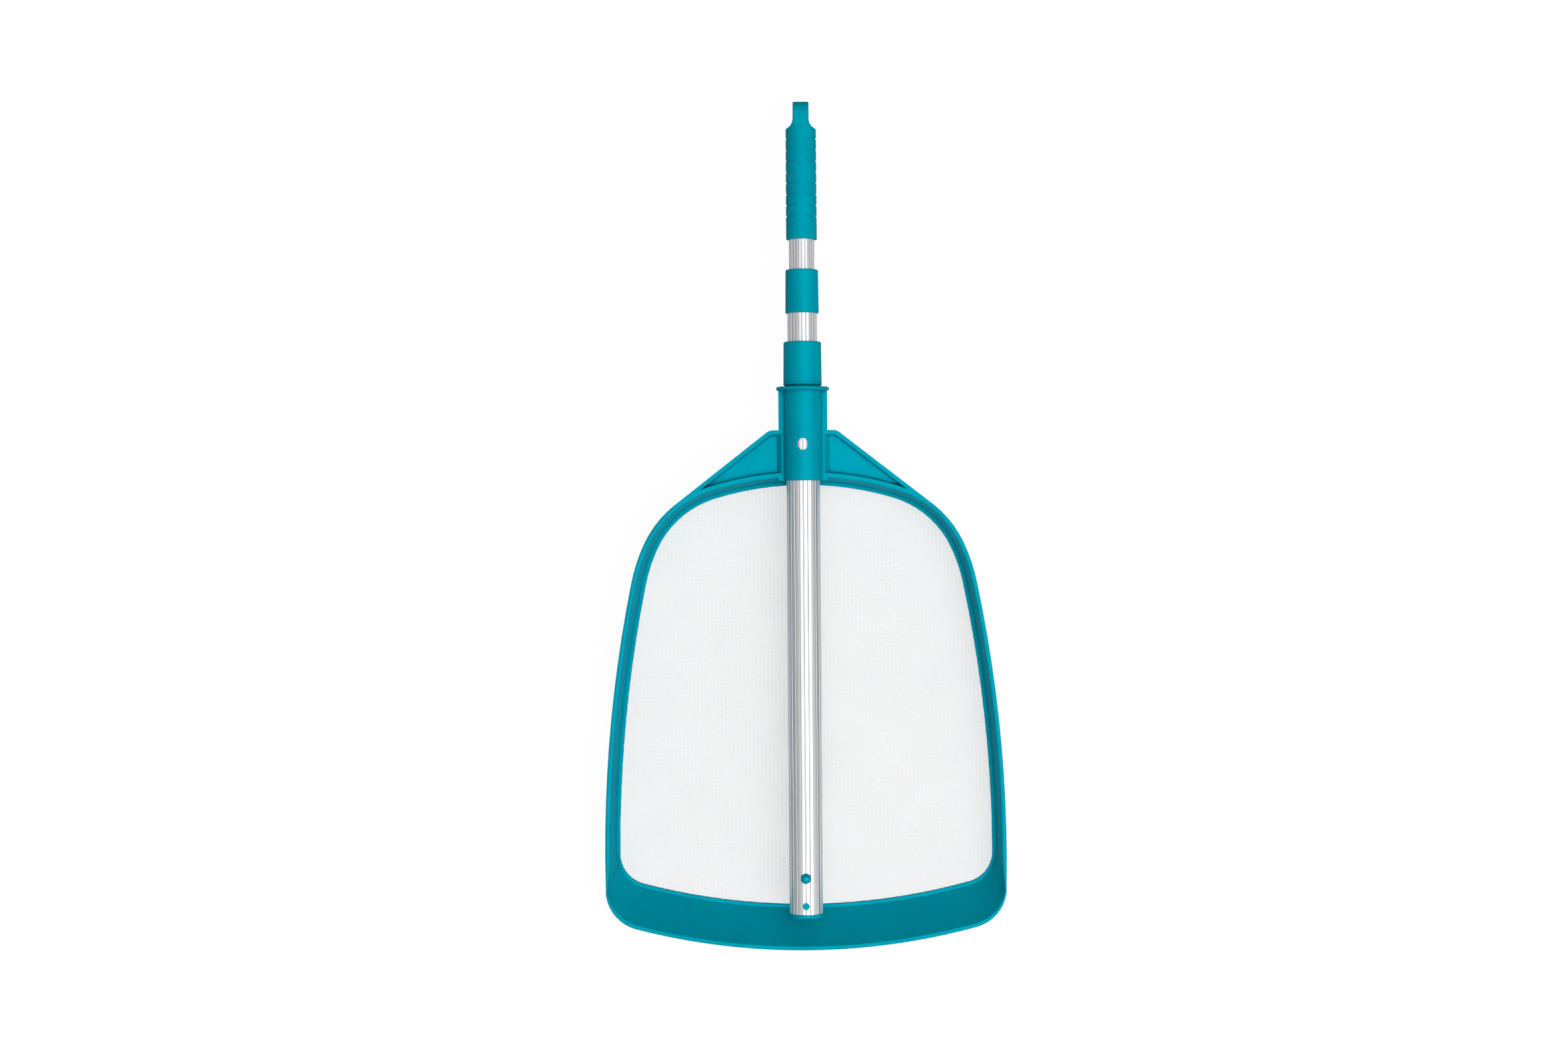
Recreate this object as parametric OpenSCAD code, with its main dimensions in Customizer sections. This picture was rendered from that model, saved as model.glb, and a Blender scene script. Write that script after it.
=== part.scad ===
// Leaf skimmer net: a moulded scoop with a flat net, and a three-section
// telescopic pole stowed right through the scoop's tubular socket.
// Millimetres, +Z up, +Y towards the grip. The scoop's base stands on Z = 0.

/* [Rim] */
// Width across the rim
head_w = 300; // [290:1:312]
// Radius of the front lip's long curve
front_r = 497; // [460:5:520]
// Radius of the two front corners
corner_r = 30.7; // [26:0.1:36]
// Straight length of each side behind its front corner
side_straight = 24.2; // [20:0.2:28]
// Radius of each long side
side_r = 1010; // [970:10:1060]
// Angle that each side has turned inward where its shoulder starts
side_turn = 11.7; // [11:0.1:12.2]
// Radius that leads from each side into its shoulder
blend_r = 131; // [124:0.5:138]
// Angle at which that lead-in ends
blend_turn = 25; // [23:0.5:27]
// Radius of the shoulder
shoulder_r = 79.8; // [76:0.2:84]
// Radius of the rear rail
rear_r = 241; // [226:1:260]
// Height of the rim above the base
rim_h = 28; // [25:0.5:32]

/* [Rail section] */
// Width of the rim's top strip
strip_w = 3.3; // [3:0.1:3.8]
// Depth of the rim's bead
bead_h = 2.4; // [2:0.1:3.2]
// Rounding of the rim's top edges
rim_round = 0.9; // [0.5:0.1:1.2]
// Thickness of the drafted wall
wall_t = 2; // [1.7:0.1:2.2]
// Horizontal run of the wall's draft at the sides and the rear
draft_run = 3.2; // [2.4:0.1:4]
// Horizontal run of the front lip's ramp
ramp_run = 24.7; // [21:0.1:26]
// Width of the ledge that holds the net
ledge_w = 2.6; // [2.4:0.1:3.2]
// Thickness of the ledge
ledge_h = 3; // [2.6:0.1:3.6]

/* [Net] */
// Radius of the net's front edge
net_front_r = 476; // [455:1:495]
// Radius of the net's front corners
net_corner_r = 23.4; // [20:0.2:27]
// Thickness of the net
net_t = 0.6; // [0.4:0.1:0.8]
// Width of a strand
strand_w = 1.2; // [0.8:0.1:2]
// Distance from strand to strand across the scoop
pitch_x = 18; // [17:0.5:24]
// Distance from strand to strand along the scoop
pitch_y = 18; // [17:0.5:24]
// How far the net's edge reaches into the ledge
slot_d = 1.8; // [1.2:0.1:2]
// Play of the net's edge in its slot
net_fit = 0.1; // [0.05:0.05:0.2]

/* [Socket] */
// Outside diameter of the sleeve
sleeve_d = 28.3; // [28:0.1:30]
// Length of the sleeve with its flange
sleeve_len = 69.8; // [64:0.2:76]
// How far the sleeve reaches over the rear rail
sleeve_reach = 6.3; // [5:0.1:7]
// Diameter of the flange
flange_d = 39.7; // [37:0.1:42]
// Thickness of the flange
flange_t = 2.6; // [2.2:0.1:3.4]
// Clearance of the pole's end plug in the sleeve, on the radius
socket_fit = 0.15; // [0.1:0.05:0.3]
// Width across the two fins
fin_w = 36.5; // [34:0.5:37]
// Thickness of a fin
fin_t = 3; // [2:0.2:4]
// Width of the button's hole in the sleeve
latch_w = 7.9; // [7.7:0.1:8.4]
// Length of the button's hole in the sleeve
latch_len = 9; // [8.6:0.1:10]
// Distance from the sleeve's lower end to the middle of that hole
latch_from_end = 27; // [22:0.2:32]

/* [Gussets] */
// Angle of the diagonal edges from the pole's axis
gusset_a = 52.1; // [50:0.1:54]
// Height of the gussets above the rear rail, along the pole
gusset_len = 31.4; // [28:0.1:34]
// Depth of a gusset's ribs
gusset_h = 9.5; // [8:0.5:11]
// Width of the diagonal and top ribs
rib_w = 3; // [2.4:0.1:3.6]
// Rounding of the outer corner
gusset_round = 8.1; // [6:0.1:10]
// Depth of the recess between the ribs
recess_h = 5; // [3:0.5:6]
// Thickness of the web in the recess
web_t = 2; // [1.5:0.1:2.5]
// Slope of the recess beside the sleeve
recess_side = 3.5; // [2:0.1:4.5]
// Slope of the recess along the rail
recess_foot = 1.4; // [0.8:0.1:2]
// Slope of the recess along the ribs
recess_draft = 1; // [0.5:0.1:1.5]

/* [Pole] */
// Diameter of the outer tube
outer_d = 25; // [24.8:0.1:25.2]
// Diameter of the middle tube
middle_d = 22; // [21.6:0.1:22.2]
// Diameter of the inner tube
inner_d = 19; // [18.6:0.1:19.2]
// Wall of the tubes
tube_wall = 1; // [0.9:0.05:1.1]
// Distance from the front lip's edge to the outer tube's end, stowed
pole_setback = 28.4; // [25:0.1:40]
// Room between the button's spring and the middle section, stowed
middle_gap = 3.9; // [1:0.1:10]
// Room between the middle section's plug and the inner section, stowed
inner_gap = 2.7; // [1:0.1:10]
// Number of flutes round each tube
flutes = 24; // [18:1:28]
// Radius of a flute's groove
flute_r = 0.55; // [0.4:0.05:0.7]
// Depth of a flute
flute_depth = 0.3; // [0.15:0.05:0.4]

/* [Collars] */
// Diameter of the outer collar at its lower end
outer_collar_d = 28.6; // [28:0.1:29.4]
// Length of the outer collar
outer_collar_len = 33.6; // [30:0.2:38]
// Diameter of the middle collar at its lower end
middle_collar_d = 24.9; // [24.6:0.1:25.6]
// Length of the middle collar
middle_collar_len = 32.5; // [29:0.1:36]
// How much narrower a collar is at its upper end
collar_taper = 0.6; // [0.2:0.1:1]
// Thickness of a collar's end wall
collar_end = 2; // [1.5:0.1:2.6]
// Rounding of a collar's edges
collar_round = 1; // [0.5:0.1:1.1]
// Height of the groove between the outer collar and the flange
collar_neck = 0.9; // [0.6:0.1:1.4]
// Depth of that groove
neck_cut = 1.2; // [1.1:0.1:1.4]
// Clearance of a sliding tube in its collar, on the radius
slide_fit = 0.15; // [0.1:0.05:0.25]
// Middle tube that shows between the collars when stowed
middle_show = 21.3; // [18:0.1:26]
// Inner tube that shows below the grip when stowed
inner_show = 22.5; // [18:0.1:26]

/* [End plug and snap button] */
// Diameter of the plug's rim
plug_rim_d = 25.6; // [25.2:0.1:26.2]
// How far the rim stands out of the tube
plug_rim_t = 3.4; // [2.8:0.1:4]
// Length of the plug inside the tube
plug_len = 14; // [12:0.5:15]
// Wall of the hollow plug
plug_wall = 2; // [1.5:0.1:2.5]
// Diameter of the nub that holds the plug
nub_d = 4.8; // [4:0.1:5.6]
// Distance of the nub from the tube's end
nub_from_end = 6.4; // [5:0.1:8]
// Diameter of the button
button_d = 7.3; // [6.8:0.1:7.5]
// How far the button stands out of the tube
button_out = 3.2; // [2.6:0.1:3.8]
// Distance of the button from the tube's end
button_from_end = 27; // [26:0.1:29]
// Diameter of the button's inner flange
button_flange_d = 10; // [9:0.1:11]
// Thickness of that flange
button_flange_t = 1.4; // [1:0.1:1.8]
// Thickness of the leaf spring
leaf_t = 0.5; // [0.4:0.05:0.7]
// Width of the leaf spring
leaf_w = 7; // [6:0.5:8]
// Radius of the leaf spring's bend
bend_r = 3.2; // [2.6:0.1:4]
// Length of the leaf spring between the button and its bend
leaf_room = 3.3; // [2.5:0.1:5]
// Clearance of the button and the nub in their holes, on the radius
button_fit = 0.2; // [0.1:0.05:0.25]

/* [Twist locks] */
// How far a cam's journal sits off the pole's axis
cam_throw = 0.5; // [0.3:0.05:0.6]
// Turn that locks a section
lock_turn = 90; // [60:5:90]
// Length of a cam ring
cam_len = 15.6; // [13:0.2:17]
// Play of a cam ring in its tube, on the radius
cam_fit = 0.2; // [0.15:0.05:0.3]
// Length of a cam plug inside its tube
cam_plug_len = 18; // [14:0.5:19]
// Thickness of a cam plug's head
cam_head_t = 2.5; // [2:0.1:3]
// Width of the split in a cam ring
cam_split = 2.4; // [1.6:0.1:3.2]
// Wall of a cam ring at its mean
cam_wall = 4; // [3.4:0.1:4.4]
// Play of a cam ring along its journal
cam_play = 0.2; // [0.1:0.05:0.4]
// Thickness of the shoulder between a cam plug and its journal
cam_shoulder_t = 2; // [1.5:0.1:3]

/* [Grip] */
// Diameter of the grip at its lower end
grip_d = 22.9; // [22.4:0.1:24]
// How much narrower the grip is at its shoulder
grip_taper = 0.3; // [0:0.1:0.6]
// Length of the grip up to its shoulder
grip_len = 82.1; // [78:0.1:90]
// How far the inner tube reaches into the grip
grip_grasp = 68; // [60:0.5:72]
// Number of grooves on each side
grooves = 8; // [6:1:8]
// Distance from groove to groove
groove_pitch = 8.25; // [7.5:0.05:8.6]
// Distance of the first groove from the shoulder
groove_start = 7; // [5:0.1:8]
// Depth of a groove
groove_depth = 0.55; // [0.3:0.05:0.7]
// Radius of a groove
groove_r = 1.4; // [1:0.1:1.8]
// Half angle of the smooth band at the front and at the back
band_a = 17; // [10:1:25]
// Height of the concave shoulder
shoulder_h = 5.6; // [4:0.1:7]
// Height of the hanging loop above the shoulder
loop_h = 15.3; // [14:0.1:18]
// Width of the loop's band
loop_w = 11.8; // [10:0.1:13]
// Radius of the loop's hole
loop_hole_r = 5; // [4:0.1:5.4]
// Thickness of the loop above its hole
loop_band = 4; // [3:0.1:5]
// Rounding of the loop's top
loop_round = 1.6; // [1:0.1:2.2]

/* [Hidden] */
$fn = 96;
// A little more than a cut needs, so that it passes right through
over = 1;
// Hair gap between glued or pressed pieces
seat_gap = 0.05;
// Share of the rim's rounding that its middle facet cuts off
rim_cut = 0.3;
// Extra distance of the hollow under a web from the rail
under_gap = 0.6;
// Least angle between a recess's tip and the rear rail
tip_room = 1;

// Stations along one half of the rim, one count for each curve
n_front = 10;
n_corner = 9;
n_side = 10;
n_blend = 4;
n_shoulder = 9;
n_rear = 6;

// Centres of the rim's curves, each tangent to the one before
function polar(r, a) = r * [cos(a), sin(a)];
front_c = [0, front_r];
corner_a = -acos((head_w / 2 - corner_r) / (front_r - corner_r));
corner_c = front_c + polar(front_r - corner_r, corner_a);
side_c = [head_w / 2 - side_r, corner_c.y + side_straight];
blend_c = side_c + polar(side_r - blend_r, side_turn);
shoulder_c = blend_c + polar(blend_r - shoulder_r, blend_turn);
rear_a = acos(shoulder_c.x / (rear_r - shoulder_r));
rear_c = shoulder_c + polar(shoulder_r - rear_r, rear_a);
rail_y = rear_c.y + rear_r;

// The net's opening: concentric with the rim, but with its own front
rail_w = strip_w + draft_run + ledge_w;
lip_w = strip_w + ramp_run + ledge_w;
net_front_c = [0, lip_w + net_front_r];
net_corner_x = head_w / 2 - rail_w - net_corner_r;
net_corner_a = -acos(net_corner_x / (net_front_r - net_corner_r));
net_corner_c = net_front_c + polar(net_front_r - net_corner_r, net_corner_a);
net_side_a = asin((net_corner_c.y - side_c.y) / (side_r - rail_w));

// Heights
axis_z = rim_h;
slot_z = (ledge_h - net_t) / 2;

// Places along the pole's axis, from the front lip, with the pole stowed
sleeve_y = rail_y - sleeve_reach;
flange_y = sleeve_y + sleeve_len;
gusset_y = rail_y + gusset_len;
latch_y = sleeve_y + latch_from_end;
outer_top = flange_y + outer_collar_len;
middle_collar_y = outer_top + middle_show;
middle_top = middle_collar_y + middle_collar_len;
grip_y = middle_top + inner_show;
grip_top = grip_y + grip_len;
loop_top = grip_top + shoulder_h + loop_h;
button_y = pole_setback + button_from_end;
bend_y = button_y + button_flange_d / 2 + leaf_room + bend_r;
cam_reach = cam_shoulder_t + cam_play + cam_len + cam_head_t;
middle_y = bend_y + bend_r + leaf_t / 2 + middle_gap + cam_reach;
inner_y = middle_y + cam_plug_len + inner_gap + cam_reach;

// Lengths of the tubes
outer_len = outer_top - collar_end - pole_setback;
middle_len = middle_top - collar_end - middle_y;
inner_len = grip_y + grip_grasp - inner_y;

// The two cams
outer_bore = outer_d - 2 * tube_wall;
middle_bore = middle_d - 2 * tube_wall;
inner_bore = inner_d - 2 * tube_wall;
journal_gap = 2 * cam_throw * sin(lock_turn / 2) + 0.03;

// Button and spring, as radii from the pole's axis
bore_at_flange = sqrt(pow(outer_bore / 2, 2) - pow(button_flange_d / 2, 2));
flange_top_r = bore_at_flange - 0.4;
leaf_top_r = flange_top_r - button_flange_t - seat_gap;
leaf_low_r = sqrt(pow(outer_bore / 2, 2) - pow(leaf_w / 2, 2)) - 0.3;
button_travel = button_out + 0.2;

// The object's origin: under the middle of its length
half_len = loop_top / 2;

module placed() {
    translate([0, -half_len, 0])
        children();
}

// Children's Z axis is laid along the pole, from y towards the grip.
// Their own -Y then points up.
module on_axis(y) {
    placed()
        translate([0, y, axis_z])
            rotate([-90, 0, 0])
                children();
}

// ---- Outlines ----

function arc(c, r, from, to, n) =
    [for (i = [0 : n - 1]) c + polar(r, from + (to - from) * i / n)];

// Right half, from the front centre to the rear centre
rim_half = concat(
    arc(front_c, front_r, -90, corner_a, n_front),
    arc(corner_c, corner_r, corner_a, 0, n_corner),
    arc(side_c, side_r, 0, side_turn, n_side),
    arc(blend_c, blend_r, side_turn, blend_turn, n_blend),
    arc(shoulder_c, shoulder_r, blend_turn, rear_a, n_shoulder),
    arc(rear_c, rear_r, rear_a, 90, n_rear),
    [[0, rail_y]]);

net_half = concat(
    arc(net_front_c, net_front_r, -90, net_corner_a, n_front),
    arc(net_corner_c, net_corner_r, net_corner_a, 0, n_corner),
    arc(side_c, side_r - rail_w, net_side_a, side_turn, n_side),
    arc(blend_c, blend_r - rail_w, side_turn, blend_turn, n_blend),
    arc(shoulder_c, shoulder_r - rail_w, blend_turn, rear_a, n_shoulder),
    arc(rear_c, rear_r - rail_w, rear_a, 90, n_rear),
    [[0, rail_y - rail_w]]);

// A half whose ends lie on the axis, closed by its mirror image
function both(half) =
    concat(half, [for (i = [len(half) - 2 : -1 : 1]) [-half[i].x, half[i].y]]);

rim_edge = both(rim_half);
net_edge = both(net_half);
stations = len(rim_edge);
function inward(i) = (net_edge[i] - rim_edge[i]) / norm(net_edge[i] - rim_edge[i]);

// ---- Scoop ----

// The rail's section at a station: distance in from the rim's edge, and height
function rail_section(i) =
    let (
        full = norm(net_edge[i] - rim_edge[i]),
        run = full - strip_w - ledge_w,
        rise = rim_h - rim_round - ledge_h,
        wall_x = wall_t * norm([run, rise]) / rise,
        foot = full - ledge_w,
        cut = rim_cut * rim_round,
        bead_z = rim_h - bead_h,
        draft = run / rise)
    [
        [0, bead_z], [0, rim_h - rim_round], [cut, rim_h - cut], [rim_round, rim_h],
        [strip_w - rim_round, rim_h], [strip_w - cut, rim_h - cut], [strip_w, rim_h - rim_round],
        [foot, ledge_h], [full - 0.4, ledge_h], [full, ledge_h - 0.4],
        [full, slot_z + net_t + net_fit / 2], [full - slot_d, slot_z + net_t + net_fit / 2],
        [full - slot_d, slot_z - net_fit / 2], [full, slot_z - net_fit / 2],
        [full, 0], [foot - wall_x + draft * ledge_h, 0],
        [strip_w - wall_x + draft * (bead_h - rim_round), bead_z],
    ];

// The rail lofted through all its stations, closed on itself
module rail() {
    sections = [for (i = [0 : stations - 1]) rail_section(i)];
    m = len(sections[0]);
    points = [for (i = [0 : stations - 1]) for (p = sections[i])
        let (q = rim_edge[i] + inward(i) * p[0]) [q.x, q.y, p[1]]];
    faces = [for (i = [0 : stations - 1]) for (j = [0 : m - 1])
        let (
            a = i * m + j,
            b = i * m + (j + 1) % m,
            c = ((i + 1) % stations) * m + (j + 1) % m,
            d = ((i + 1) % stations) * m + j)
        for (f = [[a, b, c], [a, c, d]]) f];
    polyhedron(points = points, faces = faces);
}

gusset_n = [cos(gusset_a), sin(gusset_a)];
gusset_start = shoulder_c + shoulder_r * gusset_n;
gusset_corner = [
    (gusset_start * gusset_n - gusset_round - (gusset_y - gusset_round) * gusset_n.y) / gusset_n.x,
    gusset_y - gusset_round];

// A slab of both gussets between two heights, its edge along the rail a distance inside
// the rim's edge
module gusset_plate(inset, z0, z1) {
    half = concat(
        arc(rear_c, rear_r - inset, 90, rear_a, n_rear),
        arc(shoulder_c, shoulder_r - inset, rear_a, gusset_a, n_shoulder),
        [gusset_start],
        arc(gusset_corner, gusset_round, gusset_a, 90, 6),
        [gusset_corner + [0, gusset_round], [0, gusset_y]]);
    translate([0, 0, z0])
        linear_extrude(z1 - z0)
            polygon(both(half));
}

// The lower slab reaches further into the wall, which leans away from it
module gusset_slab() {
    strip_flat = strip_w - rim_round;
    middle_z = rim_h - gusset_h / 2;
    gusset_plate(strip_flat - 0.1, middle_z, rim_h);
    gusset_plate(strip_flat + 0.5, rim_h - gusset_h, middle_z);
}

// Outline of a gusset's recess: outset from the rail, inset from the ribs and the sleeve
function recess(foot, rib, side_x) =
    let (
        r = shoulder_r + foot,
        tip_a = min(gusset_a + acos((shoulder_r - rib) / r), rear_a - tip_room),
        first_a = acos(side_x / (rear_r + foot)))
    concat(
        [[side_x, gusset_y - rib]],
        arc(rear_c, rear_r + foot, first_a, rear_a, 5),
        arc(shoulder_c, r, rear_a, tip_a, 2),
        [shoulder_c + polar(r, tip_a)],
        arc(gusset_corner, gusset_round - rib, gusset_a, 90, 4),
        [gusset_corner + [0, gusset_round - rib]]);

// A solid between two outlines of as many points, at heights z0 and z1
module loft(low, z0, high, z1) {
    n = len(low);
    points = concat([for (p = low) [p.x, p.y, z0]], [for (p = high) [p.x, p.y, z1]]);
    caps = [for (i = [1 : n - 2]) for (f = [[0, i, i + 1], [n, n + i + 1, n + i]]) f];
    sides = [for (i = [0 : n - 1]) let (k = (i + 1) % n)
        for (f = [[i, n + i, n + k], [i, n + k, k]]) f];
    polyhedron(points = points, faces = concat(caps, sides));
}

// A recess on each side between the ribs, the sleeve and the rail, and the hollow under
// its web
module recesses() {
    flat_x = (sleeve_d / 2 + fin_w / 2) / 2;
    floor_z = rim_h - recess_h;
    grow = over / recess_h;
    low = recess(recess_foot, rib_w + recess_draft, flat_x + recess_side);
    high = recess(-grow * recess_foot, rib_w - grow * recess_draft, flat_x - grow * recess_side);
    under = recess(recess_foot + under_gap, rib_w + recess_draft, flat_x + recess_side);
    for (side = [0, 1])
        mirror([side, 0, 0]) {
            loft(low, floor_z, high, rim_h + over);
            translate([0, 0, rim_h - gusset_h - over])
                linear_extrude(gusset_h - recess_h - web_t + over)
                    polygon(under);
        }
}

module fins() {
    translate([-fin_w / 2, sleeve_y, rim_h - fin_t])
        cube([fin_w, sleeve_len - flange_t / 2, fin_t]);
}

module sleeve() {
    flange_round = flange_t / 2 - 0.1;
    rotate_extrude()
        polygon(concat(
            [[0, 0], [sleeve_d / 2 - 0.4, 0], [sleeve_d / 2, 0.4],
                [sleeve_d / 2, sleeve_len - flange_t]],
            arc([flange_d / 2 - flange_round, sleeve_len - flange_t + flange_round],
                flange_round, -90, 0, 3),
            arc([flange_d / 2 - flange_round, sleeve_len - flange_round],
                flange_round, 0, 90, 3),
            [[flange_d / 2 - flange_round, sleeve_len], [0, sleeve_len]]));
}

// Everything that the pole passes through: bore, lead-in for the button, latch hole
module socket_cuts() {
    r = plug_rim_d / 2 + socket_fit;
    lead = 0.5;
    translate([0, 0, -2 * sleeve_reach - over])
        cylinder(r = r, h = sleeve_len + 2 * sleeve_reach + 2 * over);
    translate([0, 0, -over])
        cylinder(r1 = r + lead + over / 2, r2 = r, h = 2 * lead + over);
    translate([0, 0, latch_from_end])
        rotate([90, 0, 0])
            linear_extrude(sleeve_d) {
                for (end = [-1, 1])
                    translate([0, end * (latch_len - latch_w) / 2])
                        circle(d = latch_w);
                square([latch_w, latch_len - latch_w], center = true);
            }
}

module net_frame() {
    color("#0597ae")
        difference() {
            union() {
                placed() {
                    rail();
                    gusset_slab();
                    fins();
                }
                on_axis(sleeve_y)
                    sleeve();
            }
            placed()
                recesses();
            on_axis(sleeve_y)
                socket_cuts();
        }
}

// ---- Net ----

// Crossing strands with their edge band held in the ledge's slot
module net_mesh() {
    band = [for (i = [0 : stations - 1]) net_edge[i] - inward(i) * (slot_d - net_fit)];
    cols = ceil(head_w / 2 / pitch_x);
    rows = ceil((rail_y - lip_w) / pitch_y);
    color("white", 0.9)
        placed()
            translate([0, 0, slot_z])
                linear_extrude(net_t)
                    difference() {
                        polygon(band);
                        intersection() {
                            polygon([for (i = [0 : stations - 1]) net_edge[i] + inward(i) * 0.8]);
                            union()
                                for (i = [-cols : cols - 1], j = [0 : rows - 1])
                                    translate([i * pitch_x + strand_w / 2,
                                            lip_w - 2 + j * pitch_y + strand_w / 2])
                                        square([pitch_x - strand_w, pitch_y - strand_w]);
                        }
                    }
}

// ---- Pole sections ----

// A fluted tube along Z, with one flute at the top of the pole
module fluted_tube(d, len) {
    linear_extrude(len)
        difference() {
            circle(d = d);
            circle(d = d - 2 * tube_wall);
            for (i = [0 : flutes - 1])
                rotate(i * 360 / flutes)
                    translate([0, -(d / 2 + flute_r - flute_depth)])
                        circle(r = flute_r);
        }
}

// A round hole through the upper wall only
module top_hole(z, d) {
    translate([0, 0, z])
        rotate([90, 0, 0])
            cylinder(d = d, h = outer_d);
}

module outer_tube() {
    color("silver")
        on_axis(pole_setback)
            difference() {
                fluted_tube(outer_d, outer_len);
                top_hole(button_from_end, button_d + 2 * button_fit);
                top_hole(nub_from_end, nub_d + 2 * button_fit);
            }
}

module middle_tube() {
    color("silver")
        on_axis(middle_y)
            fluted_tube(middle_d, middle_len);
}

module inner_tube() {
    color("silver")
        on_axis(inner_y)
            fluted_tube(inner_d, inner_len);
}

// A tapered cap over a tube's upper end; the next tube slides through its end wall.
// It may stand on a narrower neck.
module collar(tube_d, next_d, low_d, len, neck = 0) {
    low_r = low_d / 2;
    top_r = low_r - collar_taper / 2;
    tube_r = tube_d / 2 + seat_gap;
    next_r = next_d / 2 + slide_fit;
    e = collar_round;
    rotate_extrude()
        polygon(concat(
            [[tube_r, 0]],
            neck > 0 ? [[low_r - neck_cut, 0], [low_r - neck_cut, neck]] : [],
            arc([low_r - e, neck + e], e, -90, 0, 4),
            [[low_r, neck + e]],
            arc([top_r - e, len - e], e, 0, 90, 4),
            [[top_r - e, len], [next_r + 0.4, len], [next_r, len - 0.4],
                [next_r, len - collar_end + seat_gap], [tube_r, len - collar_end + seat_gap]]));
}

module outer_collar() {
    color("#0597ae")
        on_axis(flange_y + seat_gap)
            collar(outer_d, middle_d, outer_collar_d, outer_collar_len - seat_gap, collar_neck);
}

module middle_collar() {
    color("#0597ae")
        on_axis(middle_collar_y)
            collar(middle_d, inner_d, middle_collar_d, middle_collar_len);
}

// ---- End plug and snap button ----

// A hollow plug with a rounded rim, held by a nub that shows in the tube's wall
module end_plug() {
    r = outer_bore / 2 - seat_gap;
    rim_r = plug_rim_d / 2;
    e = plug_rim_t / 2;
    color("#0597ae")
        on_axis(pole_setback)
            union() {
                rotate_extrude()
                    polygon(concat(
                        [[0, -plug_rim_t]],
                        arc([rim_r - e, -plug_rim_t + e], e, -90, 0, 5),
                        [[rim_r, -plug_rim_t + e], [rim_r, -seat_gap], [r, -seat_gap],
                            [r, plug_len - 1], [r - 0.6, plug_len],
                            [r - plug_wall, plug_len], [r - plug_wall, 0], [0, 0]]));
                translate([0, 0, nub_from_end])
                    rotate([90, 0, 0])
                        translate([0, 0, r - plug_wall / 2])
                            cylinder(d = nub_d, h = outer_d / 2 - r + plug_wall / 2);
            }
}

// A domed button with the flange that keeps it in the tube
module snap_button() {
    top = outer_d / 2 + button_out;
    r = button_d / 2;
    dome_h = 2.2;
    dome_r = (r * r + dome_h * dome_h) / (2 * dome_h);
    dome_a = asin(r / dome_r);
    color("#0597ae")
        on_axis(button_y)
            rotate([90, 0, 0])
                rotate_extrude()
                    polygon(concat(
                        [[0, leaf_top_r + seat_gap], [button_flange_d / 2, leaf_top_r + seat_gap],
                            [button_flange_d / 2, flange_top_r], [r, flange_top_r]],
                        arc([0, top - dome_r], dome_r, 90 - dome_a, 90, 6),
                        [[0, top]]));
}

// A strip of even thickness along a path
function normal_at(path, i) =
    let (
        a = path[max(i - 1, 0)],
        b = path[min(i + 1, len(path) - 1)],
        t = (b - a) / norm(b - a))
    [-t.y, t.x];
function strip(path, t) = concat(
    [for (i = [0 : len(path) - 1]) path[i] + normal_at(path, i) * t / 2],
    [for (i = [len(path) - 1 : -1 : 0]) path[i] - normal_at(path, i) * t / 2]);

// A leaf bent to a V, its bend towards the grip; the upper leg bears on the button
module button_spring() {
    high = leaf_top_r - leaf_t / 2;
    low = -leaf_low_r + leaf_t / 2;
    tip_y = button_y - button_flange_d / 2 - 0.5;
    path = concat(
        [[tip_y, high], [button_y + button_flange_d / 2 + 0.2, high]],
        [for (a = [55 : -20 : -85]) [bend_y, low + bend_r] + polar(bend_r, a)],
        [[tip_y + 1, low]]);
    color("lightgray")
        placed()
            translate([leaf_w / 2, 0, axis_z])
                rotate([90, 0, -90])
                    mirror([1, 0, 0])
                        linear_extrude(leaf_w)
                            polygon(strip(path, leaf_t));
}

// ---- Twist locks ----

// A plug pressed into a tube's lower end. Its off-centre journal carries the cam ring.
module cam_plug(tube_d, bore, journal_d) {
    head_r = journal_d / 2 + journal_gap + 1.2;
    barrel_r = bore / 2 - seat_gap;
    disc_r = tube_d / 2 - 0.2;
    journal_h = cam_len + cam_play;
    rotate_extrude()
        polygon([[0, -cam_shoulder_t], [disc_r, -cam_shoulder_t], [disc_r, -seat_gap],
            [barrel_r, -seat_gap], [barrel_r, cam_plug_len - 1],
            [barrel_r - 1, cam_plug_len], [0, cam_plug_len]]);
    translate([0, -cam_throw, -cam_shoulder_t - journal_h - over / 2])
        cylinder(d = journal_d, h = journal_h + over);
    translate([0, 0, -cam_shoulder_t - journal_h - cam_head_t])
        cylinder(r1 = head_r - 0.8, r2 = head_r, h = cam_head_t);
}

// A split ring whose off-centre bore lets the journal wedge it against the outer tube
module cam_ring(bore, journal_d) {
    d = bore - 2 * cam_fit;
    translate([0, 0, -cam_shoulder_t - cam_play / 2 - cam_len])
        difference() {
            rotate_extrude()
                polygon([[0, 0], [d / 2 - 0.6, 0], [d / 2, 0.6], [d / 2, cam_len - 0.6],
                    [d / 2 - 0.6, cam_len], [0, cam_len]]);
            translate([0, -cam_throw, -over])
                cylinder(d = journal_d + 2 * journal_gap, h = cam_len + 2 * over);
            translate([-cam_split / 2, 0, -over])
                cube([cam_split, d, cam_len + 2 * over]);
        }
}

middle_journal_d = outer_bore - 2 * cam_fit - 2 * cam_wall - 2 * journal_gap;
inner_journal_d = middle_bore - 2 * cam_fit - 2 * cam_wall - 2 * journal_gap;

module middle_cam_plug() {
    color("whitesmoke")
        on_axis(middle_y)
            cam_plug(middle_d, middle_bore, middle_journal_d);
}

module middle_cam_ring() {
    color("whitesmoke")
        on_axis(middle_y)
            cam_ring(outer_bore, middle_journal_d);
}

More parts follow.
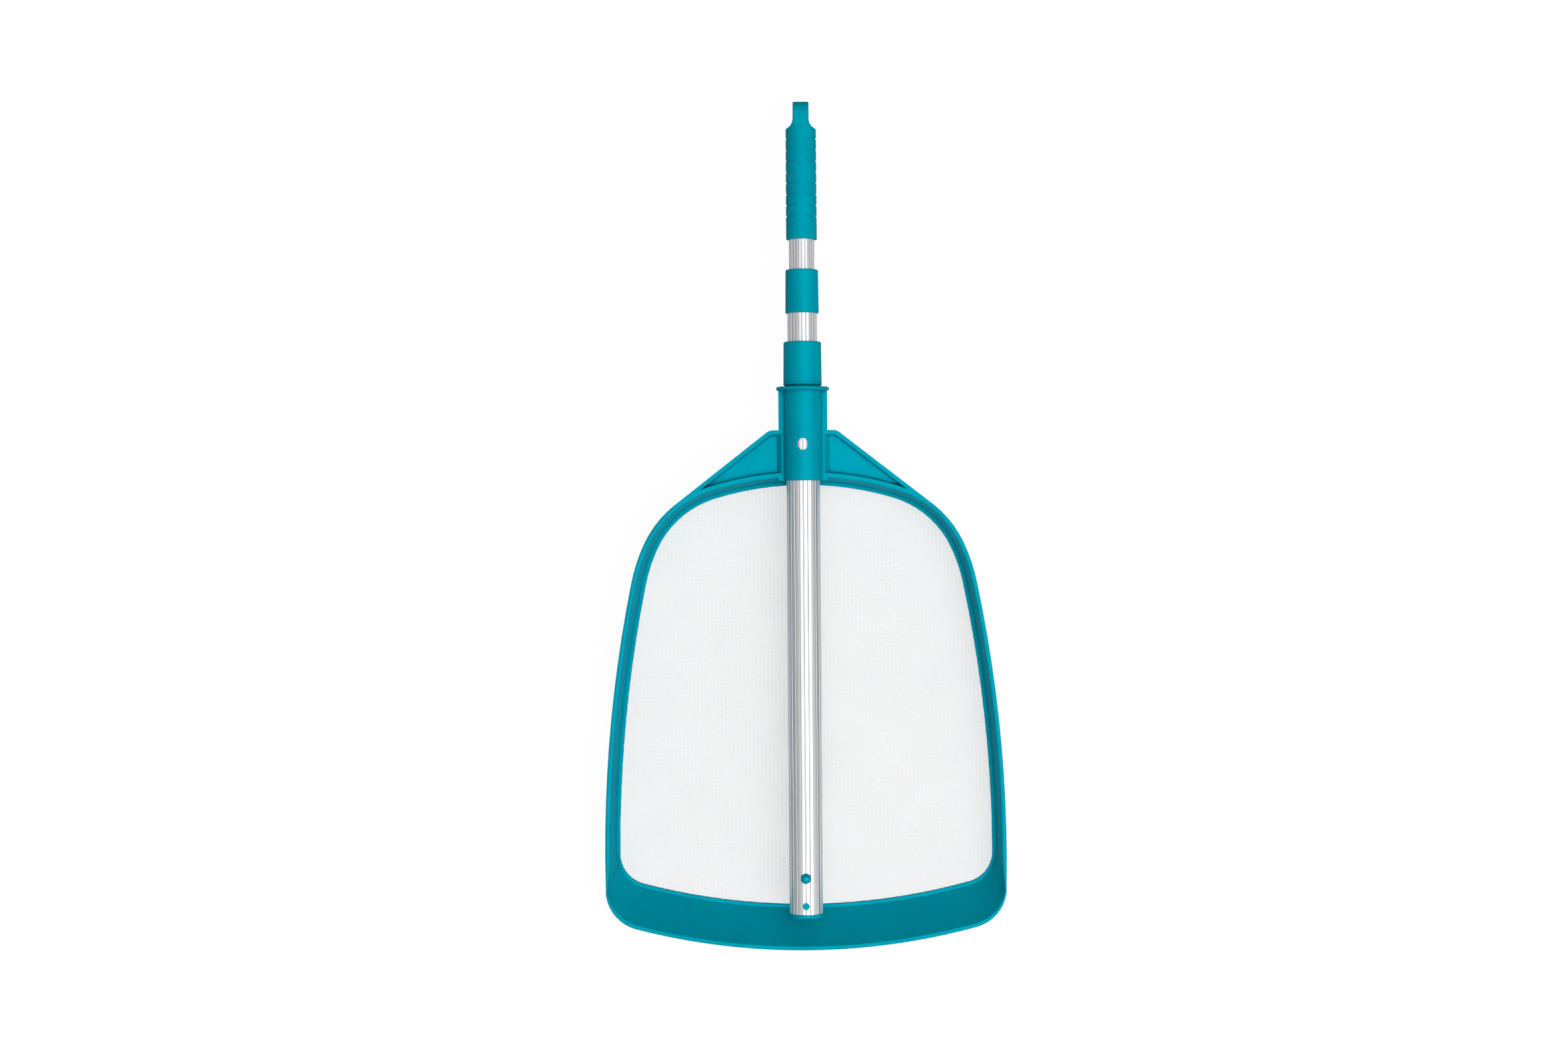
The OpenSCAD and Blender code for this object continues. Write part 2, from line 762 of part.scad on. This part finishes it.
module inner_cam_plug() {
    color("whitesmoke")
        on_axis(inner_y)
            cam_plug(inner_d, inner_bore, inner_journal_d);
}

module inner_cam_ring() {
    color("whitesmoke")
        on_axis(inner_y)
            cam_ring(middle_bore, inner_journal_d);
}

// ---- Grip ----

// Outline of the grip's end from the front: concave shoulders, then the loop's band
function grip_end_front() =
    let (
        w = loop_w / 2,
        r = grip_d / 2,
        sx = r - w,
        top = shoulder_h + loop_h,
        half = concat(
            [[0, -shoulder_h], [r + over, -shoulder_h], [r + over, 0], [r - 0.6, 0.2]],
            [for (a = [80 : -20 : 0])
                [w + (sx - 1) * (1 - cos(a)), shoulder_h + 2 - (shoulder_h + 1.4) * sin(a)]],
            arc([w - loop_round, top - loop_round], loop_round, 0, 90, 4),
            [[w - loop_round, top], [0, top]]))
    both(half);

// Outline of the same end from the side: a round-topped loop
function grip_end_side() =
    let (
        r = grip_d / 2,
        top = shoulder_h + loop_h,
        end_r = r - 1.4)
    both(concat(
        [[0, -shoulder_h], [r + over, -shoulder_h], [r + over, 0], [r - 0.8, 1]],
        arc([0, top - end_r], end_r, 0, 90, 10),
        [[0, top]]));

module grip_end() {
    difference() {
        intersection() {
            translate([0, 0, -shoulder_h])
                cylinder(d = grip_d - grip_taper, h = 2 * shoulder_h + loop_h + over);
            rotate([90, 0, 0])
                translate([0, 0, -grip_d])
                    linear_extrude(2 * grip_d)
                        polygon(grip_end_front());
            rotate([90, 0, 90])
                translate([0, 0, -grip_d])
                    linear_extrude(2 * grip_d)
                        polygon(grip_end_side());
        }
        translate([-grip_d, 0, shoulder_h + loop_h - loop_band - loop_hole_r])
            rotate([0, 90, 0])
                cylinder(r = loop_hole_r, h = 2 * grip_d);
    }
}

module handle_grip() {
    low_r = grip_d / 2;
    top_r = low_r - grip_taper / 2;
    tube_r = inner_d / 2 + seat_gap;
    e = 0.8;
    color("#0597ae")
        on_axis(grip_y)
            union() {
                difference() {
                    rotate_extrude()
                        polygon(concat(
                            [[tube_r, 0]],
                            arc([low_r - e, e], e, -90, 0, 4),
                            [[low_r, e], [top_r, grip_len - 0.4], [top_r - 0.4, grip_len],
                                [0, grip_len], [0, grip_grasp + seat_gap],
                                [tube_r, grip_grasp + seat_gap]]));
                    for (k = [0 : grooves - 1], side = [0, 180])
                        translate([0, 0, grip_len - groove_start - k * groove_pitch])
                            rotate([0, 0, side - 90 + band_a])
                                rotate_extrude(angle = 180 - 2 * band_a)
                                    translate([low_r + groove_r - groove_depth, 0])
                                        circle(r = groove_r, $fn = 24);
                }
                translate([0, 0, grip_len])
                    grip_end();
            }
}

net_frame();
net_mesh();
outer_tube();
outer_collar();
end_plug();
button_spring();
snap_button();
middle_cam_ring();
middle_cam_plug();
middle_tube();
middle_collar();
inner_cam_ring();
inner_cam_plug();
inner_tube();
handle_grip();
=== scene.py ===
import math
import random

import bpy
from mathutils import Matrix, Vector

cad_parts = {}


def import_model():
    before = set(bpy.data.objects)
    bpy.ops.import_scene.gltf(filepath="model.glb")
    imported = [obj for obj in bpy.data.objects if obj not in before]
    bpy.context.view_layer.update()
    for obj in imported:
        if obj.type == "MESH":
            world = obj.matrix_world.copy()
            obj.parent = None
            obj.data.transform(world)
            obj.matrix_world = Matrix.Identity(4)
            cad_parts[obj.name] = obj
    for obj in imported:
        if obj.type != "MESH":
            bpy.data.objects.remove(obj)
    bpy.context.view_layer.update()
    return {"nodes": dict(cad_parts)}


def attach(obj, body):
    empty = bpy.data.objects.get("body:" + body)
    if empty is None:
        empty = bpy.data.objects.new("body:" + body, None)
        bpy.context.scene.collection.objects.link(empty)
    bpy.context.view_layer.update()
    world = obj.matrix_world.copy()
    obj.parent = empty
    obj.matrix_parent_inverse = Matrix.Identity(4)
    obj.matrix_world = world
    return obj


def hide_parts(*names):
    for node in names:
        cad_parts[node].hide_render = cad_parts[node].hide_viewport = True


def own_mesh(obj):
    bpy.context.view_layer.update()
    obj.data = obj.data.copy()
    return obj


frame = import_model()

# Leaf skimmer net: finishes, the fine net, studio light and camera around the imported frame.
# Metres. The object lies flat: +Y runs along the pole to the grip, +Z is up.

NODES = frame["nodes"]
MM = 0.001

# ---- Colours, as linear values ----


def srgb(r, g, b):
    """A colour given in the usual 0 to 255 steps, as linear light."""
    def linear(v):
        v /= 255
        return v / 12.92 if v <= 0.04045 else ((v + 0.055) / 1.055) ** 2.4
    return (linear(r), linear(g), linear(b), 1.0)


TEAL = srgb(0, 160, 182)
TEAL_DEEP = srgb(0, 153, 174)
# Darker teal: the socket's parting line, and painted shade in corners and grooves
TEAL_SEAM_AND_SHADE = srgb(0, 116, 138)
GRIP_TEAL = srgb(0, 161, 183)
GRIP_DEEP = srgb(0, 153, 174)
ALUMINIUM = srgb(230, 231, 233)
ALUMINIUM_DULL = srgb(214, 215, 218)
NET_WHITE = srgb(248, 248, 249)
NET_SHADE = srgb(241, 242, 243)
PLASTIC_WHITE = srgb(232, 232, 228)
PLASTIC_SHADE = srgb(220, 220, 214)
# Painted shade for the grooves of the tubes' flutes
GROOVE_SHADE = srgb(172, 173, 176)
STEEL = srgb(186, 187, 190)
STEEL_DULL = srgb(168, 168, 172)

# ---- Materials ----

POLE_HEIGHT = 28 * MM
FLUTES = 24
CORNER_REACH = 3.2 * MM
PARTING_Y = 77 * MM


def maths(tree, operation, a, b=0.0):
    """A maths node on two numbers or outputs."""
    node = tree.nodes.new("ShaderNodeMath")
    node.operation = operation
    for value, socket in zip((a, b), node.inputs):
        if isinstance(value, (int, float)):
            socket.default_value = value
        else:
            tree.links.new(value, socket)
    return node.outputs["Value"]


class Shader:
    """A material's node tree, with short names for the nodes that the finishes share."""

    def __init__(self, name):
        self.material = bpy.data.materials.new(name)
        self.material.use_nodes = True
        self.nodes = self.material.node_tree.nodes
        self.links = self.material.node_tree.links
        self.surface = self.nodes["Principled BSDF"]
        self.place = self.nodes.new("ShaderNodeTexCoord").outputs["Object"]
        self.height = None
        self.base = None

    def link(self, output, target):
        self.links.new(output, target)

    def scaled(self, x, y, z):
        """The object's own coordinates, stretched by a factor along each axis."""
        node = self.nodes.new("ShaderNodeMapping")
        node.inputs["Scale"].default_value = (x, y, z)
        self.link(self.place, node.inputs["Vector"])
        return node.outputs["Vector"]

    def noise(self, size, detail=2.0, rough=0.5, along=None):
        """Noise whose features are about size metres across; along stretches them on Y."""
        node = self.nodes.new("ShaderNodeTexNoise")
        stretch = size if along is None else along
        self.link(self.scaled(1 / size, 1 / stretch, 1 / size), node.inputs["Vector"])
        node.inputs["Scale"].default_value = 1.0
        node.inputs["Detail"].default_value = detail
        node.inputs["Roughness"].default_value = rough
        return node.outputs["Fac"]

    def ranged(self, value, low, high, out_low=0.0, out_high=1.0):
        node = self.nodes.new("ShaderNodeMapRange")
        self.link(value, node.inputs["Value"])
        node.inputs["From Min"].default_value = low
        node.inputs["From Max"].default_value = high
        node.inputs["To Min"].default_value = out_low
        node.inputs["To Max"].default_value = out_high
        return node.outputs["Result"]

    def maths(self, operation, a, b=0.0):
        return maths(self.material.node_tree, operation, a, b)

    def axes(self):
        """The object's own x, y and z at the point that is shaded."""
        node = self.nodes.new("ShaderNodeSeparateXYZ")
        self.link(self.place, node.inputs["Vector"])
        return node.outputs

    def openness(self, reach):
        """1 on an open face, falling in corners and grooves narrower than reach."""
        node = self.nodes.new("ShaderNodeAmbientOcclusion")
        node.samples = 6
        node.inputs["Distance"].default_value = reach
        return node.outputs["AO"]

    def colour(self, share, first, second):
        """The base colour, mixed by a share; the colour set before can be the second one."""
        node = self.nodes.new("ShaderNodeMix")
        node.data_type = "RGBA"
        self.link(share, node.inputs["Factor"])
        node.inputs[6].default_value = first
        if second is None:
            self.link(self.base, node.inputs[7])
        else:
            node.inputs[7].default_value = second
        self.base = node.outputs[2]
        self.link(self.base, self.surface.inputs["Base Color"])

    def roughness(self, value):
        self.link(value, self.surface.inputs["Roughness"])

    def bump(self, value, depth, strength=1.0):
        """Adds a relief, depth metres high, on top of those already there."""
        node = self.nodes.new("ShaderNodeBump")
        node.inputs["Strength"].default_value = strength
        node.inputs["Distance"].default_value = depth
        self.link(value, node.inputs["Height"])
        if self.height:
            self.link(self.height, node.inputs["Normal"])
        self.height = node.outputs["Normal"]
        self.link(self.height, self.surface.inputs["Normal"])

    def set(self, **values):
        for name, value in values.items():
            self.surface.inputs[name.replace("_", " ")].default_value = value


def moulded_plastic(name, base, deep, rough, grain, grain_depth, gloss=0.0, tinted=0.16):
    """Moulded plastic: slow mottling, painted shade in corners and grooves, a fine grain and a faint
    waviness.
    """
    s = Shader(name)
    mottle = s.maths("ADD", s.noise(22 * MM, 3), s.ranged(s.noise(1.6 * MM, 4), 0, 1, -0.18, 0.18))
    s.colour(s.ranged(mottle, 0.32, 0.72), base, deep)
    # Painted shade: corners and grooves narrower than CORNER_REACH darken towards the darker teal
    s.colour(s.ranged(s.openness(CORNER_REACH), 0.25, 0.78), TEAL_SEAM_AND_SHADE, None)
    s.roughness(s.ranged(s.noise(5 * MM, 4, 0.6), 0.3, 0.7, rough - 0.05, rough + 0.07))
    s.bump(s.noise(26 * MM, 1), 0.16 * MM)
    s.bump(s.noise(grain, 3, 0.6), grain_depth)
    s.set(Specular_IOR_Level=gloss, Metallic=tinted)
    return s


def parting_mark(s):
    """The faint witness line across the socket, broken in the middle."""
    x, y, _ = s.axes()
    aside = s.maths("ABSOLUTE", x)
    off = s.maths("ABSOLUTE", s.maths("SUBTRACT", y, PARTING_Y))
    line = s.ranged(off, 0.1 * MM, 0.4 * MM, 1, 0)
    reach = s.maths("MULTIPLY", s.ranged(aside, 1.5 * MM, 2.5 * MM), s.ranged(aside, 6 * MM, 8 * MM, 1, 0))
    s.colour(s.maths("SUBTRACT", 1.0, s.maths("MULTIPLY", s.maths("MULTIPLY", line, reach), 0.25)),
             TEAL_SEAM_AND_SHADE, None)


def drawn_aluminium(name):
    """Bright drawn tube: streaks along it, painted shade in the grooves of the flutes, and handling marks.
    """
    s = Shader(name)
    streak = s.noise(0.35 * MM, 2, 0.5, along=90 * MM)
    hairline = s.noise(0.09 * MM, 1, 0.5, along=30 * MM)
    smudge = s.noise(30 * MM, 3)
    s.colour(s.ranged(s.maths("ADD", streak, s.ranged(smudge, 0, 1, -0.2, 0.2)), 0.3, 0.75),
             ALUMINIUM, ALUMINIUM_DULL)
    # Painted shade: each flute's groove, found by the angle round the pole's axis, darkens towards the
    # groove colour
    x, _, z = s.axes()
    turn = s.maths("MULTIPLY", s.maths("ARCTAN2", x, s.maths("SUBTRACT", z, POLE_HEIGHT)),
                   FLUTES / (2 * math.pi))
    beside = s.maths("ABSOLUTE", s.maths("SUBTRACT", turn, s.maths("ROUND", turn)))
    s.colour(s.ranged(beside, 0.05, 0.2), GROOVE_SHADE, None)
    s.roughness(s.ranged(s.maths("ADD", smudge, streak), 0.6, 1.4, 0.35, 0.45))
    s.bump(hairline, 0.012 * MM)
    s.bump(streak, 0.02 * MM)
    s.set(Metallic=1.0)
    return s.material


def nylon_net(name):
    """Thin white nylon strands, slightly uneven in tone."""
    s = Shader(name)
    s.colour(s.ranged(s.maths("ADD", s.noise(45 * MM, 3), s.ranged(s.noise(2.5 * MM, 2), 0, 1, -0.2, 0.2)),
                      0.35, 0.7), NET_WHITE, NET_SHADE)
    s.roughness(s.ranged(s.noise(1.2 * MM, 2), 0.3, 0.7, 0.42, 0.58))
    s.bump(s.noise(0.12 * MM, 2), 0.02 * MM)
    s.set(Specular_IOR_Level=0.4, Subsurface_Weight=0.15, Subsurface_Scale=0.3 * MM)
    return s.material


def white_plastic(name):
    s = Shader(name)
    s.colour(s.ranged(s.noise(9 * MM, 4), 0.35, 0.7), PLASTIC_WHITE, PLASTIC_SHADE)
    s.roughness(s.ranged(s.noise(3 * MM, 3), 0.3, 0.7, 0.4, 0.52))
    s.bump(s.noise(0.3 * MM, 3), 0.02 * MM)
    return s.material


def spring_steel(name):
    s = Shader(name)
    s.colour(s.ranged(s.noise(0.4 * MM, 2, 0.5, along=12 * MM), 0.35, 0.7), STEEL, STEEL_DULL)
    s.roughness(s.ranged(s.noise(2 * MM, 3), 0.3, 0.7, 0.22, 0.34))
    s.bump(s.noise(0.2 * MM, 2, 0.5, along=6 * MM), 0.01 * MM)
    s.set(Metallic=1.0)
    return s.material


def dress():
    """Gives every CAD node its finish."""
    moulding = moulded_plastic("scoop_teal", TEAL, TEAL_DEEP, 0.36, 0.22 * MM, 0.03 * MM)
    parting_mark(moulding)
    scoop = moulding.material
    fittings = moulded_plastic("fittings_teal", TEAL, TEAL_DEEP, 0.4, 0.16 * MM, 0.02 * MM).material
    shiny = moulded_plastic("button_teal", TEAL, TEAL_DEEP, 0.22, 0.16 * MM, 0.01 * MM, 0.06, 0.35).material
    grip = moulded_plastic("grip_teal", GRIP_TEAL, GRIP_DEEP, 0.52, 0.3 * MM, 0.05 * MM).material
    tube = drawn_aluminium("tube_aluminium")
    white = white_plastic("cam_white")
    finishes = {
        "net_frame": scoop,
        "outer_collar": fittings, "middle_collar": fittings, "end_plug": fittings,
        "snap_button": shiny,
        "handle_grip": grip,
        "outer_tube": tube, "middle_tube": tube, "inner_tube": tube,
        "middle_cam_plug": white, "middle_cam_ring": white,
        "inner_cam_plug": white, "inner_cam_ring": white,
        "button_spring": spring_steel("leaf_steel"),
    }
    for name, material in finishes.items():
        for slot in NODES[name].material_slots:
            slot.material = material


# ---- Shading of the CAD nodes ----

SMOOTH_BELOW = 28


def smoothed(limit):
    """Geometry nodes that join a node's split edges and smooth those below limit degrees."""
    group = bpy.data.node_groups.new("smooth_below_angle", "GeometryNodeTree")
    group.interface.new_socket("Geometry", in_out="INPUT", socket_type="NodeSocketGeometry")
    group.interface.new_socket("Geometry", in_out="OUTPUT", socket_type="NodeSocketGeometry")
    new = group.nodes.new
    start, end = new("NodeGroupInput"), new("NodeGroupOutput")
    merge = new("GeometryNodeMergeByDistance")
    merge.inputs["Distance"].default_value = 0.001 * MM
    bare = new("GeometryNodeRemoveAttribute")
    bare.inputs["Name"].default_value = "custom_normal"
    faces = new("GeometryNodeSetShadeSmooth")
    faces.domain = "FACE"
    edges = new("GeometryNodeSetShadeSmooth")
    edges.domain = "EDGE"
    angle = new("GeometryNodeInputMeshEdgeAngle")
    gentle = new("FunctionNodeCompare")
    gentle.operation = "LESS_THAN"
    gentle.inputs["B"].default_value = math.radians(limit)
    link = group.links.new
    link(start.outputs[0], bare.inputs["Geometry"])
    link(bare.outputs[0], merge.inputs["Geometry"])
    link(merge.outputs[0], faces.inputs["Geometry"])
    link(faces.outputs[0], edges.inputs["Geometry"])
    link(angle.outputs["Unsigned Angle"], gentle.inputs["A"])
    link(gentle.outputs[0], edges.inputs["Shade Smooth"])
    link(edges.outputs[0], end.inputs[0])
    return group


# ---- Leaf spring ----


def spring_follows():
    """Gives the leaf spring a mesh of its own."""
    spring = NODES["button_spring"]
    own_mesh(spring)


# ---- Net ----

STRAND_PITCH = 1.0 * MM
STRAND_W = 0.24 * MM
STRAND_H = 0.18 * MM
# A strand's flattened section, as shares of its width and its height
STRAND_SECTION = ((-0.5, 0), (-0.38, -0.5), (0.38, -0.5), (0.5, 0), (0.38, 0.5), (-0.38, 0.5))
STRAND_WANDER = 0.03 * MM
SHORTEST_STRAND = 4 * STRAND_PITCH
SLOT_PLAY = 0.1 * MM


def convex_outline(points):
    """The outline round a flat set of points, anticlockwise."""
    points = sorted(set(points))

    def chain(run):
        out = []
        for p in run:
            while len(out) > 1 and (out[-1] - out[-2]).cross(p - out[-2]) <= 0:
                out.pop()
            out.append(p)
        return out[:-1]
    run = [Vector(p) for p in points]
    return chain(run) + chain(run[::-1])


def span(outline, axis, at):
    """Where a line square to an axis enters and leaves a convex outline."""
    other, hits = 1 - axis, []
    for a, b in zip(outline, outline[1:] + outline[:1]):
        if (a[axis] - at) * (b[axis] - at) < 0:
            share = (at - a[axis]) / (b[axis] - a[axis])
            hits.append(a[other] + share * (b[other] - a[other]))
    return (min(hits), max(hits)) if len(hits) > 1 else None


def net_piece():
    """The real net: fine strands in two crossing layers, ends held in the ledge's slot."""
    node = NODES["net_mesh"]
    corners = [v.co for v in node.data.vertices]
    outline = convex_outline([(round(c.x, 7), round(c.y, 7)) for c in corners])
    low, high = min(c.z for c in corners), max(c.z for c in corners)
    middle = (low + high) / 2
    lift = (high - low - STRAND_H) / 2
    draw = random.Random(11)
    verts, faces = [], []

    def strand(axis, at, start, end, z):
        first = len(verts)
        for along in (start, end):
            for across, up in STRAND_SECTION:
                side = at + across * STRAND_W
                point = (side, along) if axis == 0 else (along, side)
                verts.append((*point, z + up * STRAND_H))
        sides = len(STRAND_SECTION)
        ring = list(range(first, first + sides))
        far = [i + sides for i in ring]
        order = 1 if axis == 0 else -1
        for k in range(sides):
            n = (k + 1) % sides
            faces.append((ring[k], ring[n], far[n], far[k])[::-order])
        faces.append(tuple(ring)[::order])
        faces.append(tuple(far)[::-order])

    for axis, z in ((0, middle + lift), (1, middle - lift)):
        values = [p[axis] for p in outline]
        at = min(values) + STRAND_PITCH
        while at < max(values) - STRAND_PITCH / 2:
            place = at + draw.uniform(-STRAND_WANDER, STRAND_WANDER)
            ends = span(outline, axis, place)
            if ends and ends[1] - ends[0] > SHORTEST_STRAND:
                strand(axis, place, ends[0] + SLOT_PLAY, ends[1] - SLOT_PLAY, z)
            at += STRAND_PITCH
    mesh = bpy.data.meshes.new("fine_net")
    mesh.from_pydata(verts, [], faces)
    mesh.validate()
    piece = bpy.data.objects.new("fine_net", mesh)
    bpy.context.scene.collection.objects.link(piece)
    mesh.materials.append(nylon_net("net_nylon"))
    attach(piece, "net_head")
    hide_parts("net_mesh")
    return piece


# ---- Stage, light and camera ----

FLOOR_SIZE = 9.0
FLOOR_GREY = srgb(168, 168, 169)
FLOOR_SHOWN = 0.88
FLOOR_GLOW = 1.09
GLOSS_SHOWN = 0.3
SKY_TOWARDS = Vector((0.12, -0.22, 0.97)).normalized()
SKY_STRENGTH = 0.85
SKY_EDGE = 0.13
SKY_FALLOFF = 2.0
# Each softbox: its name, the way to it, its distance and size in metres, and its watts
SOFTBOXES = (
    ("key", Vector((0.3, -0.15, 0.94)), 2.3, 2.5, 33.5),
    ("fill", Vector((0.75, -0.6, 0.28)), 2.6, 1.4, 7.0),
)


def background_share(tree, for_gloss):
    """1 for rays that show the background to the camera, less for gloss, 0 for light."""
    path = tree.nodes.new("ShaderNodeLightPath").outputs
    seen = maths(tree, "MAXIMUM", path["Is Glossy Ray"], path["Is Transmission Ray"])
    return maths(tree, "MAXIMUM", path["Is Camera Ray"], maths(tree, "MULTIPLY", seen, for_gloss))


def floor():
    material = bpy.data.materials.new("floor_pale")
    material.use_nodes = True
    tree = material.node_tree
    tree.nodes.clear()
    out = tree.nodes.new("ShaderNodeOutputMaterial")
    matt = tree.nodes.new("ShaderNodeBsdfDiffuse")
    matt.inputs["Color"].default_value = FLOOR_GREY
    glow = tree.nodes.new("ShaderNodeEmission")
    glow.inputs["Color"].default_value = (1, 1, 1, 1)
    glow.inputs["Strength"].default_value = FLOOR_GLOW
    mix = tree.nodes.new("ShaderNodeMixShader")
    share = maths(tree, "MULTIPLY", background_share(tree, GLOSS_SHOWN), FLOOR_SHOWN)
    tree.links.new(share, mix.inputs["Fac"])
    tree.links.new(matt.outputs[0], mix.inputs[1])
    tree.links.new(glow.outputs[0], mix.inputs[2])
    tree.links.new(mix.outputs[0], out.inputs["Surface"])
    half = FLOOR_SIZE / 2
    mesh = bpy.data.meshes.new("floor")
    mesh.from_pydata([(-half, -half, 0), (half, -half, 0), (half, half, 0), (-half, half, 0)],
                     [], [(0, 1, 2, 3)])
    mesh.materials.append(material)
    ground = bpy.data.objects.new("floor", mesh)
    bpy.context.scene.collection.objects.link(ground)


def world():
    """A pale studio: white behind the object, and a soft dome, brightest near the zenith."""
    sky = bpy.data.worlds.new("studio")
    bpy.context.scene.world = sky
    sky.use_nodes = True
    tree = sky.node_tree
    tree.nodes.clear()
    out = tree.nodes.new("ShaderNodeOutputWorld")
    place = tree.nodes.new("ShaderNodeTexCoord")
    along = tree.nodes.new("ShaderNodeVectorMath")
    along.operation = "DOT_PRODUCT"
    along.inputs[1].default_value = SKY_TOWARDS
    upper = tree.nodes.new("ShaderNodeMapRange")
    level = tree.nodes.new("ShaderNodeMapRange")
    level.inputs["To Min"].default_value = SKY_EDGE
    level.inputs["To Max"].default_value = SKY_STRENGTH
    light = tree.nodes.new("ShaderNodeBackground")
    white = tree.nodes.new("ShaderNodeBackground")
    mix = tree.nodes.new("ShaderNodeMixShader")
    tree.links.new(place.outputs["Generated"], along.inputs[0])
    tree.links.new(along.outputs["Value"], upper.inputs["Value"])
    tree.links.new(maths(tree, "POWER", upper.outputs[0], SKY_FALLOFF), level.inputs["Value"])
    tree.links.new(level.outputs[0], light.inputs["Strength"])
    tree.links.new(background_share(tree, GLOSS_SHOWN), mix.inputs["Fac"])
    tree.links.new(light.outputs[0], mix.inputs[1])
    tree.links.new(white.outputs[0], mix.inputs[2])
    for node in (light, white):
        node.inputs["Color"].default_value = (1, 1, 1, 1)
    tree.links.new(mix.outputs[0], out.inputs["Surface"])


def softboxes():
    for name, towards, distance, size, power in SOFTBOXES:
        lamp = bpy.data.lights.new(name, "AREA")
        lamp.shape = "SQUARE"
        lamp.size = size
        lamp.energy = power
        box = bpy.data.objects.new(name, lamp)
        towards = towards.normalized()
        box.location = towards * distance
        box.rotation_euler = towards.to_track_quat("Z", "Y").to_euler()
        box.visible_camera = False
        bpy.context.scene.collection.objects.link(box)


# The photograph's width in pixels, and a pixel's size at the pole's height
FRAME_W = 2353
CAMERA_DISTANCE = 1.8
PIXEL_AT_POLE = 0.4975 * MM
SENSOR = 36.0
PICTURE_X = -14.6 * MM
PICTURE_Y = 2.9 * MM
CAMERA_ASIDE = 34.6 * MM
CAMERA_TURN = -0.42


def camera():
    """Looks straight down, a little right of the picture's middle, as the photograph does."""
    data = bpy.data.cameras.new("camera")
    data.sensor_width = SENSOR
    data.lens = CAMERA_DISTANCE / PIXEL_AT_POLE / FRAME_W * SENSOR
    eye = bpy.data.objects.new("camera", data)
    data.shift_x = -CAMERA_ASIDE / PIXEL_AT_POLE / FRAME_W
    turn = math.radians(CAMERA_TURN)
    eye.location = (PICTURE_X + CAMERA_ASIDE * math.cos(turn),
                    PICTURE_Y + CAMERA_ASIDE * math.sin(turn),
                    POLE_HEIGHT + CAMERA_DISTANCE)
    eye.rotation_euler = (0, 0, turn)
    bpy.context.scene.collection.objects.link(eye)
    bpy.context.scene.camera = eye


camera()
floor()
world()
softboxes()
dress()
net_piece()
spring_follows()
NODES["net_frame"].modifiers.new("smooth", "NODES").node_group = smoothed(SMOOTH_BELOW)

bpy.context.scene.view_settings.view_transform = "Standard"
